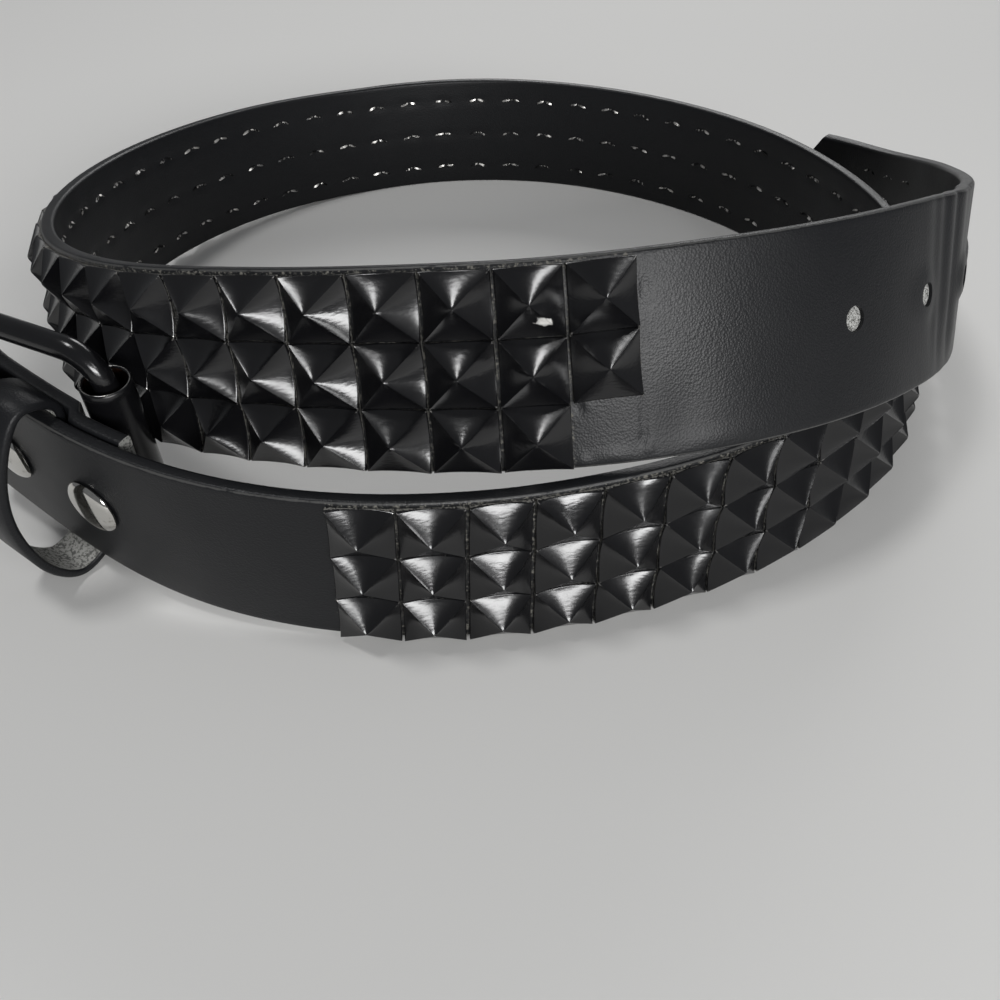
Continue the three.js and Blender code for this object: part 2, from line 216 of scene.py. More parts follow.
# %% Folding the strap round the hinge bar
fold_radius = bar_dia / 2 + gap + half
fold_long = math.pi * fold_radius
keeper_at = snap_first + snap_pitch / 2
keeper_end = keeper_at + keeper_wide / 2 + gap
snap_second = snap_first + snap_pitch
flap_at_keeper = -(2 * half + 2 * gap + keeper_thick)
flap_at_end = -(2 * half + gap)


def smoothstep(x, low, high):
    t = np.clip((x - low) / (high - low), 0, 1)
    return t * t * (3 - 2 * t)


def flap_middle(x):
    """How far behind the strap the flap's middle lies, at distances from the fold."""
    early = smoothstep(x, 0, snap_first - snap_back / 2)
    late = smoothstep(x, keeper_end, snap_second - snap_back / 2)
    wide = -2 * fold_radius + early * (flap_at_keeper + 2 * fold_radius)
    return wide + late * (flap_at_end - wide)


def fold_back(points):
    """The straight slab to belt space."""
    x, y, z = np.asarray(points, float).T
    turn = np.clip(-x / fold_radius, 0, math.pi)
    reach = fold_radius + z
    back = -x - fold_long
    on_fold = np.stack([-np.sin(turn) * reach, y, np.cos(turn) * reach - fold_radius], 1)
    on_flap = np.stack([back, y, flap_middle(back) - z], 1)
    on_run = np.stack([x, y, z], 1)
    run, flap = (x >= 0)[:, None], (x < -fold_long)[:, None]
    return np.where(run, on_run, np.where(flap, on_flap, on_fold))


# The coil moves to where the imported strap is
run = np.concatenate([np.linspace(-fold_long - flap_long, 0, 80), np.linspace(0, belt_long, 600)])
rim = np.array([[x, y, z] for x in run for y in (0, strap_width) for z in (-half, half)])
own = place(fold_back(rim)) / mm
cad = np.array(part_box("strap")) / mm
shift = (cad[0] + cad[1] - own.min(0) - own.max(0)) / 2 * [1, 1, 0]
print("coil moved by", shift.round(2), "mm")

# %% [markdown]
# Points and faces go into a mesh that faces outward and is smooth except at real edges,
# and the piece is tied to the body that carries it. Faces between rings of points are
# what most of the shapes need.

# %% Making a piece


def ring_faces(rings, around, closed=False, start=0):
    """Four-sided faces between rings of points; closed joins the last to the first."""
    ring, k = np.indices((rings - (not closed), around))
    here, ahead, right = ring * around, (ring + 1) % rings * around, (k + 1) % around
    quads = np.stack([here + k, here + right, ahead + right, ahead + k], -1)
    return (quads.reshape(-1, 4) + start).tolist()


def tube_faces(rings, around, start=0):
    """Faces between rings of points, and one over the first ring and the last."""
    first = list(range(start, start + around))
    return ring_faces(rings, around, start=start) + [first, [k + (rings - 1) * around for k in first]]


def moved_on(faces, count):
    """Faces of a shape whose points are put behind count other points."""
    return [[k + count for k in face] for face in faces]


def make_mesh(name, points, faces, sharp):
    """A mesh that faces outward and is smooth but for edges over so many degrees."""
    mesh = bpy.data.meshes.new(name)
    mesh.from_pydata(np.asarray(points).tolist(), [], faces)
    bm = bmesh.new()
    bm.from_mesh(mesh)
    bmesh.ops.recalc_face_normals(bm, faces=bm.faces)
    bm.to_mesh(mesh)
    bm.free()
    mesh.shade_smooth()
    mesh.set_sharp_from_angle(angle=math.radians(sharp))
    return mesh


def link(name, data):
    thing = bpy.data.objects.new(name, data)
    bpy.context.collection.objects.link(thing)
    return thing


def add_piece(name, mesh, materials, slot, body, *nodes):
    """Puts a mesh in the scene, on its body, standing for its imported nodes."""
    piece = link(name, mesh)
    for material in materials:
        mesh.materials.append(material)
    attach(piece, body)
    if nodes:
        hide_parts(*nodes)
    print(name, "has", sum(len(p.vertices) - 2 for p in mesh.polygons), "triangles")


def mark(mesh, name, values):
    """Keeps one number for each point, which a material reads by name."""
    numbers = np.full(len(mesh.vertices), values, dtype=np.float32)
    mesh.attributes.new(name, "FLOAT", "POINT").data.foreach_set("value", numbers)


def mark_lacquer(mesh, wear=0, dust=0, chip=0):
    for name, values in (("wear", wear), ("dust", dust), ("chip", chip)):
        mark(mesh, name, values)
    return mesh


def move_by(matrix, points):
    """Points in millimetres, moved by a matrix in metres."""
    axes = np.array(matrix)
    return np.asarray(points) * mm @ axes[:3, :3].T + axes[:3, 3]


print("faces between two rings of four points:", len(ring_faces(2, 4)))

# %% [markdown]
# A finish is a Principled shader with a few textures in front of it. Node trees are wordy,
# so one helper adds a node and feeds its inputs with numbers or with other sockets.
# Grain, speckle and smudges are used by several finishes and become node groups.

# %% Helpers for node trees


def feed(tree, node, inputs):
    """Joins each named input to a socket, or sets it to a number or a colour."""
    for name, value in inputs.items():
        if isinstance(value, bpy.types.NodeSocket):
            tree.links.new(value, node.inputs[name])
        else:
            node.inputs[name].default_value = (*value, 1) if isinstance(value, tuple) else value


def add_node(tree, kind, inputs=None, **settings):
    """A node with its settings made and its inputs fed."""
    node = tree.nodes.new(kind)
    for name, value in settings.items():
        setattr(node, name, value)
    feed(tree, node, inputs or {})
    return node


def object_place(tree):
    return add_node(tree, "ShaderNodeTexCoord").outputs["Object"]


def add_math(tree, operation, first, second):
    return add_node(tree, "ShaderNodeMath", {0: first, 1: second}, operation=operation).outputs[0]


def add_noise(tree, inputs):
    return add_node(tree, "ShaderNodeTexNoise", inputs).outputs["Fac"]


def stretch(tree, value, low, high, new_low=0, new_high=1):
    """A value between low and high, moved to between two others."""
    return add_node(tree, "ShaderNodeMapRange", {"Value": value, "From Min": low, "From Max": high,
                                                 "To Min": new_low, "To Max": new_high}).outputs["Result"]


def add_bump(tree, height, strength, distance):
    return add_node(tree, "ShaderNodeBump", {"Height": height, "Strength": strength,
                                             "Distance": distance}).outputs["Normal"]


def start_group(name, inputs, output):
    """An empty node group with number inputs and one number output, and its end nodes."""
    tree = bpy.data.node_groups.new(name, "ShaderNodeTree")
    for label, value in inputs.items():
        socket = tree.interface.new_socket(label, in_out="INPUT", socket_type="NodeSocketFloat")
        socket.default_value = value
    tree.interface.new_socket(output, in_out="OUTPUT", socket_type="NodeSocketFloat")
    return tree, tree.nodes.new("NodeGroupInput").outputs, tree.nodes.new("NodeGroupOutput")


def add_group(tree, group, inputs):
    return add_node(tree, "ShaderNodeGroup", inputs, node_tree=group).outputs[0]


print("node groups so far:", len(bpy.data.node_groups))

# %% [markdown]
# Belt leather has a fine pebble: cells well under a millimetre, with soft creases between
# them. Voronoi cells give the pebble and noise keeps it uneven. The group gives only a
# height, and each material decides how deep it is.

# %% Group for leather grain


def make_grain_group():
    tree, given, result = start_group("leather_grain", {"Scale": 1500, "Unevenness": 0.5}, "Height")
    where = object_place(tree)
    wander = add_node(tree, "ShaderNodeTexNoise", {"Vector": where, "Scale": 420, "Detail": 3})
    moved = add_node(tree, "ShaderNodeMixRGB", {"Fac": 0.0006, "Color1": where,
                                                "Color2": wander.outputs["Color"]}, blend_type="ADD")
    cells = add_node(tree, "ShaderNodeTexVoronoi", {"Vector": moved.outputs["Color"],
                                                    "Scale": given["Scale"]})
    patches = add_noise(tree, {"Vector": where, "Scale": 160, "Detail": 4})
    amount = add_math(tree, "MULTIPLY", patches, given["Unevenness"])
    feed(tree, result, {"Height": add_math(tree, "ADD", cells.outputs["Distance"], amount)})
    return tree


grain_group = make_grain_group()
print("group:", grain_group.name)

# %% [markdown]
# Dust, rubbed paint, chips and the painted highlight along the strap's corners all look like speckle: they
# sit where a mask says, but with a broken edge. Comparing noise with the mask gives that edge.

# %% Group for speckle
noise_top, broken_edge = 0.78, 0.08


def make_speckle_group():
    tree, given, result = start_group("speckle", {"Mask": 1, "Scale": 900, "Cover": 0.5}, "Mask")
    noise = add_noise(tree, {"Vector": object_place(tree), "Scale": given["Scale"], "Detail": 5,
                             "Roughness": 0.65})
    wanted = add_math(tree, "MULTIPLY", given["Mask"], given["Cover"])
    low = add_math(tree, "SUBTRACT", noise_top, wanted)
    high = add_math(tree, "ADD", low, broken_edge)
    broken = stretch(tree, noise, low, high)
    feed(tree, result, {"Mask": add_math(tree, "MULTIPLY", broken, given["Mask"])})
    return tree


speckle_group = make_speckle_group()
print("group:", speckle_group.name)

# %% [markdown]
# Handling leaves soft patches that shine more or less. Slow noise, stretched between two
# values, drives roughness.

# %% Group for smudges


def make_smudge_group():
    tree, given, result = start_group("smudges", {"Scale": 60, "Low": 0.3, "High": 0.5}, "Value")
    noise = add_noise(tree, {"Vector": object_place(tree), "Scale": given["Scale"], "Detail": 3})
    feed(tree, result, {"Value": stretch(tree, noise, 0.3, 0.7, given["Low"], given["High"])})
    return tree


smudge_group = make_smudge_group()
print("group:", smudge_group.name)

# %% [markdown]
# The strap is black leather with a satin top coat. Its cut edges are painted, and a pale line along its
# outer corners is partly rubbed edge paint and partly a painted highlight of the rounded edge. Grey dust
# sits between the studs, where no hand rubs it off.

# %% Leather of the strap
leather_black, leather_dust = (0.0062, 0.0066, 0.0078), (0.13, 0.125, 0.11)
# The pale colour of the line along the strap's outer corners: partly rubbed edge paint, partly a painted
# highlight
edge_wear_and_highlight = (0.055, 0.055, 0.054)

# Where the mix node keeps its two inputs and its output, for numbers and for colours
mix_sockets = {"FLOAT": (2, 3, 0), "RGBA": (6, 7, 2)}


def start_material(name):
    material = bpy.data.materials.new(name)
    material.use_nodes = True
    return material, material.node_tree, material.node_tree.nodes["Principled BSDF"]


def mix(tree, kind, mask, under, over):
    """One number or colour over another where a mask says."""
    low, high, result = mix_sockets[kind]
    node = add_node(tree, "ShaderNodeMix", {0: mask, low: under, high: over}, data_type=kind)
    return node.outputs[result]


def read_mark(tree, name):
    return add_node(tree, "ShaderNodeAttribute", attribute_name=name).outputs["Fac"]


def speckle(tree, mask, scale, cover):
    return add_group(tree, speckle_group, {"Mask": mask, "Scale": scale, "Cover": cover})


def smudge(tree, scale, low, high):
    return add_group(tree, smudge_group, {"Scale": scale, "Low": low, "High": high})


def make_leather():
    material, tree, shader = start_material("strap_leather")
    # Mask of the pale corner line, which is partly rubbed paint and partly a painted highlight
    edge = speckle(tree, stretch(tree, read_mark(tree, "from_corner"), 0.4, 0.15), 300, 0.44)
    dust = speckle(tree, read_mark(tree, "dust"), 1500, 0.26)
    grain = add_group(tree, grain_group, {"Scale": 2300, "Unevenness": 0.3})
    with_edge_wear_and_highlight = mix(tree, "RGBA", edge, leather_black, edge_wear_and_highlight)
    feed(tree, shader, {
        "Base Color": mix(tree, "RGBA", dust, with_edge_wear_and_highlight, leather_dust),
        "Roughness": mix(tree, "FLOAT", dust, smudge(tree, 45, 0.36, 0.46), 0.85),
        "Specular IOR Level": 0.28,
        "Normal": add_bump(tree, grain, 0.20, 0.00022),
    })
    return material


leather = make_leather()
print("nodes in the leather:", len(leather.node_tree.nodes))

# %% [markdown]
# Where leather is cut or its back shows it is suede: grey, matt fibres. The same finish,
# lighter, makes the fuzz that fills the punched holes.

# %% Suede and fuzz


def make_fibres(name, dark, light, scale):
    material, tree, shader = start_material(name)
    fibres = add_noise(tree, {"Scale": scale * 2, "Detail": 6})
    feed(tree, shader, {
        "Base Color": mix(tree, "RGBA", speckle(tree, 1.0, scale, 0.34), dark, light),
        "Roughness": 0.95,
        "Specular IOR Level": 0.15,
        "Normal": add_bump(tree, fibres, 0.7, 0.0004),
    })
    return material


suede = make_fibres("grey_suede", (0.13, 0.13, 0.125), (0.38, 0.38, 0.36), 1500)
fuzz = make_fibres("hole_fuzz", (0.16, 0.16, 0.15), (0.62, 0.62, 0.60), 2600)
print("fibre finishes:", suede.name, fuzz.name)

# %% [markdown]
# Studs and buckle are steel under black lacquer: a clear gloss coat over black, so a dark
# dielectric of low roughness and not a dark metal. At corners it has rubbed through to the
# steel, and one stud has lost a flake of it.

# %% Black lacquer and bare steel
lacquer_black, bare_steel = (0.0045, 0.0045, 0.0052), (0.42, 0.41, 0.39)
lacquer_dust, chipped_primer = (0.17, 0.165, 0.15), (0.78, 0.77, 0.74)


def make_lacquer():
    material, tree, shader = start_material("black_lacquer")
    bare = speckle(tree, read_mark(tree, "wear"), 1800, 0.40)
    dust = speckle(tree, read_mark(tree, "dust"), 2400, 0.36)
    chip = speckle(tree, read_mark(tree, "chip"), 500, 0.62)
    worn = mix(tree, "RGBA", bare, lacquer_black, bare_steel)
    dusty = mix(tree, "RGBA", dust, worn, lacquer_dust)
    rough = mix(tree, "FLOAT", dust, smudge(tree, 130, 0.15, 0.24), 0.8)
    ripple = add_noise(tree, {"Scale": 160, "Detail": 1})
    feed(tree, shader, {
        "Base Color": mix(tree, "RGBA", chip, dusty, chipped_primer),
        "Metallic": bare,
        "Roughness": mix(tree, "FLOAT", chip, rough, 0.5),
        "Normal": add_bump(tree, ripple, 0.06, 0.0003),
    })
    return material


def make_metal(name, colour, low, high, tarnish, tarnish_cover):
    material, tree, shader = start_material(name)
    stains = speckle(tree, 1.0, 420, tarnish_cover)
    feed(tree, shader, {"Base Color": mix(tree, "RGBA", stains, colour, tarnish), "Metallic": 1.0,
                        "Roughness": smudge(tree, 300, low, high)})
    return material


lacquer = make_lacquer()
chrome = make_metal("snap_chrome", (0.62, 0.61, 0.58), 0.07, 0.16, (0.30, 0.28, 0.25), 0.20)
steel = make_metal("leg_steel", (0.72, 0.70, 0.67), 0.30, 0.55, (0.03, 0.03, 0.03), 0.34)
tube_steel = make_metal("worn_tube", (0.10, 0.055, 0.035), 0.25, 0.45, (0.03, 0.02, 0.016), 0.32)
rim_steel = make_metal("rubbed_rim", (0.55, 0.54, 0.51), 0.2, 0.4, (0.05, 0.05, 0.05), 0.22)
print("metals:", chrome.name, steel.name, tube_steel.name, rim_steel.name)

# %% [markdown]
# The strap is a long slab with rounded edges. Its section is a ring of points, repeated
# every few millimetres, and more closely where the leather is creased. It is cut while it
# is flat, and only then folded and laid on the coil.

# %% The strap, flat
edge_radius = 0.8
section_cuts, corner_points, fold_cuts = 40, 5, 24
slab_step, worn_step = 2.3, 0.7
worn_runs = [
    # start, length of the runs that get closer points
    (last_column, 34),
    (holes_start + 24, 62),
]


def strap_section():
    """Points round the strap's section, y and z, with rounded long edges."""
    corner = np.radians(np.linspace(0, 90, corner_points))
    ys, zs = strap_width - edge_radius, half - edge_radius
    across = np.linspace(ys, edge_radius, section_cuts + 1)[1:-1]
    faces = {0: [[y, half] for y in across], 2: [[y, -half] for y in across[::-1]]}
    ring = []
    for turn, (cy, cz) in enumerate([(ys, zs), (edge_radius, zs), (edge_radius, -zs), (ys, -zs)]):
        ring += [[cy + math.cos(a) * edge_radius, cz + math.sin(a) * edge_radius]
                 for a in corner + turn * math.pi / 2]
        ring += faces.get(turn, [])
    return np.array(ring)


def make_slab():
    run = np.linspace(0, belt_long, round(belt_long / slab_step) + 1)
    for start, long in worn_runs:
        run = run[(run < start) | (run > start + long)]
        run = np.sort(np.append(run, np.linspace(start, start + long, round(long / worn_step))))
    fold = np.linspace(-fold_long, 0, fold_cuts + 1)[:-1]
    flap = np.linspace(-fold_long - flap_long, -fold_long, round(flap_long / slab_step) + 1)[:-1]
    xs = np.concatenate([flap, fold, run])
    ring = strap_section()
    points = np.array([[x, y, z] for x in xs for y, z in ring])
    return make_mesh("strap", points, tube_faces(len(xs), len(ring)), 35)


slab = link("strap_blank", make_slab())
print("slab points:", len(slab.data.vertices))

# %% [markdown]
# The cutters are gathered in one mesh: a punch for each hole and snap, a slot for the
# prong and a turned block at each corner of the tip. One exact Boolean takes them all out.

# %% Cutting the strap
punch_sides = 28
through = 3 * strap_thick


def punch(bm, x, wide):
    """A round cutter standing through the slab's middle line."""
    bmesh.ops.create_cone(bm, cap_ends=True, segments=punch_sides, radius1=wide / 2,
                          radius2=wide / 2, depth=through, matrix=Matrix.Translation((x, middle, 0)))


def block(bm, x, y, long, wide, turn=0.0):
    """A straight cutter standing through the slab."""
    where = Matrix.Translation((x, y, 0)) @ Matrix.Rotation(turn, 4, "Z")
    bmesh.ops.create_cube(bm, size=1, matrix=where @ Matrix.Diagonal((long, wide, through, 1)))


def make_cutters():
    bm = bmesh.new()
    for i in range(hole_count):
        punch(bm, holes_start + i * hole_pitch, hole_dia)
    for x in (snap_first, snap_second):
        punch(bm, x, snap_post + 2 * gap)
        punch(bm, -fold_long - x, snap_post + 2 * gap)
    block(bm, -fold_long / 2, middle, fold_long + 2 * slot_long, prong_thick + 4 * gap)
    corner_side = tip_corner * math.sqrt(2)
    for y in (0, strap_width):
        block(bm, belt_long, y, corner_side, corner_side, math.pi / 4)
    mesh = bpy.data.meshes.new("cutters")
    bm.to_mesh(mesh)
    bm.free()
    return mesh


def cut_slab():
    cutter = link("cutters", make_cutters())
    cut = slab.modifiers.new("punch", "BOOLEAN")
    cut.operation, cut.solver, cut.object = "DIFFERENCE", "EXACT", cutter
    ready = slab.evaluated_get(bpy.context.evaluated_depsgraph_get())
    mesh = bpy.data.meshes.new_from_object(ready)
    for spent in (cutter, slab):
        bpy.data.objects.remove(spent)
    return mesh


strap_mesh = cut_slab()
strap_mesh.name = "strap"
print("cut strap points:", len(strap_mesh.vertices))

# %% [markdown]
# Worn leather isn't flat. The prongs of a missing stud have left dents, creases cross the
# strap near the used holes, and each stud's legs pull the back in. These are small moves
# of the slab's points, from tables of where, how wide and how deep.

# %% Dents and creases of the strap
lost_row = margin_below + row_pitch / 2
dents = [
    # x past the last column, y, half width along, half width across, depth
    (1.2, lost_row + 5.2, 0.6, 0.6, 0.35),
    (2.6, lost_row + 5.4, 0.5, 0.5, -0.25),
    (12.9, lost_row + 1.5, 0.4, 3.5, 0.22),
    (13.1, lost_row - 3.6, 0.6, 0.8, -0.40),
    (12.5, lost_row - 2.6, 0.5, 0.9, 0.35),
    (1.4, lost_row - 5.0, 0.8, 0.7, -0.30),
    (7.0, 1.9, 2.2, 0.7, -0.28),
    (14.2, 31.0, 0.6, 1.4, 0.25),
    (20.0, 8.0, 3.2, 5.0, 0.30),
    (27.0, 2.6, 6.0, 1.2, -0.25),
]
second_hole = holes_start + hole_pitch
creases = [
    # x past the second hole, half width along, depth, share of the width where it starts
    (4.0, 1.6, 0.28, 0.10),
    (8.5, 1.3, 0.40, 0.00),
    (12.5, 1.5, -0.25, 0.20),
    (16.0, 1.2, 0.45, 0.00),
    (20.5, 1.8, -0.35, 0.00),
    (31.0, 1.3, 0.70, 0.80),
    (35.0, 2.2, 0.40, 0.15),
]
stretched_holes = [
    # x, rise of the rim
    (second_hole, 0.35),
    (second_hole + hole_pitch, 0.95),
    (second_hole + 2 * hole_pitch, 1.05),
]
rim_reach, rim_soft = 3.0, 1.6
fade_before, fade_after = 0.05, 0.25
pull_long, pull_wide, pull_deep = 2.6, 1.0, 0.30


def stud_centres():
    """Middle of every stud in belt space, x and y."""
    centres = []
    for start, columns, last_rows in ((plain_run, stud_columns, short_rows),
                                      (tip_studs_start, tip_columns, stud_rows)):
        for column in range(columns):
            for row in range(last_rows if column == columns - 1 else stud_rows):
                centres.append([start + (column + 0.5) * stud_pitch, field_top - (row + 0.5) * row_pitch])
    return np.array(centres)


def bell(distance, wide):
    return np.exp(-0.5 * (distance / wide)**2)


def wear_slab(points):
    """Moves the flat slab's points by its dents, creases and pulled-in backs."""
    x, y, z = points.T
    depth = np.zeros_like(x)
    for at_x, at_y, wide_x, wide_y, deep in dents:
        depth += deep * bell(x - (last_column + at_x), wide_x) * bell(y - at_y, wide_y) * (z > 0)
    for at_x, wide, deep, start in creases:
        fade = smoothstep(y / strap_width, start - fade_before, start + fade_after)
        depth += deep * bell(x - (second_hole + at_x), wide) * fade
    for at_x, rise in stretched_holes:
        away = np.hypot(x - at_x, y - middle)
        depth -= rise * bell(np.maximum(away - rim_reach, 0), rim_soft)
    column = np.clip(np.round((x - centres[0, 0]) / stud_pitch), 0, stud_columns - 1)
    near_x = bell(x - centres[0, 0] - column * stud_pitch, pull_long)
    row = np.clip(np.round((field_top - y) / row_pitch - 0.5), 0, stud_rows - 1)
    near_y = bell(field_top - (row + 0.5) * row_pitch - y, pull_wide)
    depth -= pull_deep * near_x * near_y * (z < 0)
    return points - np.stack([0 * x, 0 * x, depth], 1)


centres = stud_centres()
print("studs:", len(centres))

# %% [markdown]
# The cut slab gets its wear, is folded and is laid on the coil. Before that, while places on it are easy to
# name, it is marked for the finish: dust between the studs, and the distance from its corners, which places
# a pale line there that is partly rubbed edge paint and partly painted highlight.

# %% The strap on the coil
# How far in from the side the pale corner line runs, which is partly rubbed paint and partly painted
# highlight
edge_line = 0.25


def finish_strap(mesh):
    """Marks the cut slab for its finish and lays it on the coil."""
    flat = np.empty(len(mesh.vertices) * 3, dtype=np.float32)
    mesh.vertices.foreach_get("co", flat)
    flat = flat.reshape(-1, 3).astype(float)
    x, y, z = flat.T
    field_end, tip_end = last_column + stud_pitch, tip_studs_start + tip_columns * stud_pitch
    under_field = (x > plain_run - 0.5) & (x < field_end - 0.2)
    under_tip = (x > tip_studs_start) & (x < tip_end)
    bare_patch = (x > last_column + 0.3) & (x < field_end) & (y < lost_row + row_pitch / 2)
    mark(mesh, "dust", (under_field | under_tip) & (z > half - 0.1) & ~bare_patch)
    # The distance from the outer corner line places the leather's pale line: rubbed paint and painted
    # highlight
    from_edge = np.minimum(y, strap_width - y) - edge_line
    mark(mesh, "from_corner", np.abs(from_edge) + np.clip(half - edge_line - z, 0, 9))
    face_x = np.array([p.center.x for p in mesh.polygons])
    flap_end = face_x < -fold_long - flap_long + 0.01
    mesh.polygons.foreach_set("material_index", flap_end.astype(np.int32))
    placed = place(fold_back(wear_slab(flat)))
    mesh.vertices.foreach_set("co", placed.astype(np.float32).ravel())
    mesh.shade_smooth()
    mesh.set_sharp_from_angle(angle=math.radians(38))


finish_strap(strap_mesh)
add_piece("strap_leather", strap_mesh, [leather, suede], "leather", "belt", "strap")

# %% [markdown]
# Loose fibres fill the punched holes and show as a pale core. A disc of rings with its
# middle raised at random is enough at this size.

# %% Fuzz in the holes
rng = np.random.default_rng(7)
fuzz_rings, fuzz_around = 5, 20
fuzz_swell, fuzz_dip, fuzz_rough, fuzz_spread = 1.25, 0.55, 0.12, 1.02
hole_lifts = np.array([0, 0.3, 0.8, 0.9, 0])  # how far each hole's rim has risen


def make_fuzz():
    hole, side, ring, k = np.indices((hole_count, 2, fuzz_rings, fuzz_around)).reshape(4, -1)
    share, turn = ring / (fuzz_rings - 1), 2 * math.pi * k / fuzz_around
    r = hole_dia / 2 * fuzz_spread * np.maximum(share, 0.02)
    rough = rng.normal(0, fuzz_rough, len(k)) * (1 - share**4)
    swell = hole_lifts[hole] + (1 - 2 * side) * (fuzz_swell - fuzz_dip * share**2) + rough
    x0 = holes_start + hole * hole_pitch
    points = np.stack([x0 + r * np.cos(turn), middle + r * np.sin(turn), swell], 1)
    faces, disc = [], fuzz_rings * fuzz_around
    for start in range(0, len(points), 2 * disc):
        for low in (start, start + disc):
            faces += ring_faces(fuzz_rings, fuzz_around, start=low)
        for low in (start, start + disc):
            faces.append([low + k for k in range(fuzz_around)])
        outer, inner = start + disc - fuzz_around, start + 2 * disc - fuzz_around
        faces += [[outer + k, outer + n, inner + n, inner + k]
                  for k, n in ((k, (k + 1) % fuzz_around) for k in range(fuzz_around))]
    return make_mesh("hole_fuzz", place(points), faces, 60)


add_piece("hole_fuzz", make_fuzz(), [fuzz], "leather", "belt")

# %% [markdown]
# A pyramid stud is pressed from thin sheet. Its ridges stay straight but the flanks sink
# between them, so each edge of the base bows in towards the leather, and light gathers
# along the ridges. Rings of points run from its tip down to its skirt.

# %% One stud
side_places = np.array([-1, -0.95, -0.84, -0.55, -0.2, 0.2, 0.55, 0.84, 0.95])
ring_places = np.array([0.05, 0.14, 0.27, 0.42, 0.57, 0.72, 0.86, 0.97, 1.0])
edge_height, corner_rise = 0.30, 0.95
tip_worn, flank_sag, ridge_sharp, half_seam, skirt_foot = 0.12, 1.15, 2.2, 0.07, 0.02
corner_wear, edge_dust = 0.9, 0.30


def stud_shape():
    """One stud round its own middle: x, y, height over the leather, and its marks."""
    s = side_places
    one = np.ones_like(s)
    outline = np.concatenate([np.stack([s, -one], 1), np.stack([one, s], 1),
                              np.stack([-s, one], 1), np.stack([-one, -s], 1)])
    ridge = np.tile(np.abs(s), 4)
    reach = np.array([stud_long / 2, row_pitch / 2 - half_seam])
    points, wear, dust = [[0, 0, stud_height - tip_worn]], [0.3], [0]
    for t in ring_places:
        flank = edge_height + (stud_height - edge_height) * (1 - t)**flank_sag
        corner = edge_height + corner_rise
        crest = corner + (stud_height - corner) * (1 - t)
        height = flank + (crest - flank) * ridge**ridge_sharp
        for (u, v), h, r in zip(outline, height, ridge):
            points.append([u * t * reach[0], v * t * reach[1], h])
            wear.append(corner_wear * r**14 * t**6)
            dust.append(edge_dust * t**6)
    for drop, spread in ((0.5, 1.006), (1.0, 1.0)):
        last = points[-len(outline):]
        base = [skirt_foot + (p[2] - skirt_foot) * (1 - drop) for p in last]
        points += [[u * spread * reach[0], v * spread * reach[1], h] for (u, v), h in zip(outline, base)]
        wear += [0.0] * len(outline)
        dust += [1.0] * len(outline)
    return np.array(points), np.array(wear), np.array(dust), len(outline)


stud_points, stud_wear, stud_dust, around_stud = stud_shape()
stud_rings = (len(stud_points) - 1) // around_stud
stud_faces = [[0, 1 + k, 1 + (k + 1) % around_stud] for k in range(around_stud)]
stud_faces += ring_faces(stud_rings, around_stud, start=1)
stud_faces.append(list(range(len(stud_points) - around_stud, len(stud_points))))
print("points in a stud:", len(stud_points))

# %% [markdown]
# Studs set by hand never line up perfectly, so each gets a tiny seeded shift and turn. One
# has lost a flake of lacquer on its lower flank, marked by an oval on that stud alone.

# %% All the studs
chipped_column, chipped_row = stud_columns - 2, 0
chip_at, chip_wide = np.array([2.3, -3.1]), np.array([1.9, 0.8])
set_turn, set_shift, set_height, set_above = 0.5, 0.05, 0.012, 0.05


def make_studs(places):
    points, faces, chip = [], [], []
    chipped = [plain_run + (chipped_column + 0.5) * stud_pitch, field_top - (chipped_row + 0.5) * row_pitch]
    oval = np.linalg.norm((stud_points[:, :2] - chip_at) / chip_wide, axis=1)
    for centre in places:
        faces += moved_on(stud_faces, len(points) * len(stud_points))
        a = math.radians(rng.normal(0, set_turn))
        turn = np.array([[math.cos(a), -math.sin(a)], [math.sin(a), math.cos(a)]])
        flat = stud_points[:, :2] @ turn.T + rng.normal(0, set_shift, 2)
        height = stud_points[:, 2:] * (1 + rng.normal(0, set_height)) + half + set_above
        points.append(np.hstack([flat + centre, height]))
        chip.append((1 - smoothstep(oval, 0.5, 1.3)) * np.allclose(centre, chipped))
    mesh = make_mesh("studs", place(np.vstack(points)), faces, 70)
    wear, dust = (np.tile(values, len(places)) for values in (stud_wear, stud_dust))
    return mark_lacquer(mesh, wear, dust, np.concatenate(chip))


on_tip = centres[:, 0] > tip_studs_start
add_piece("studs_of_field", make_studs(centres[~on_tip]), [lacquer], "lacquer", "belt", "stud_field")
add_piece("studs_of_tip", make_studs(centres[on_tip]), [lacquer], "lacquer", "belt", "tip_studs")

# %% [markdown]
# Each stud is held by two legs pushed through the leather and bent over on the back. On
# the inside of the coil they show as pairs of bright slivers. A leg is a thin tapering
# strip whose end sinks into the leather.

# %% Legs of the studs
leg_long, leg_wide, leg_thick, leg_cuts = 2.9, 0.62, 0.4, 6
leg_from, leg_above, leg_bow, leg_sink = 0.3, 0.35, 0.30, 0.06

# Mean and spread of what differs from leg to leg
leg_drop, leg_sunk, leg_twist, leg_stretch = (0.75, 0.2), (0.06, 0.10), (0.40, 0.20), (0, 0.08)


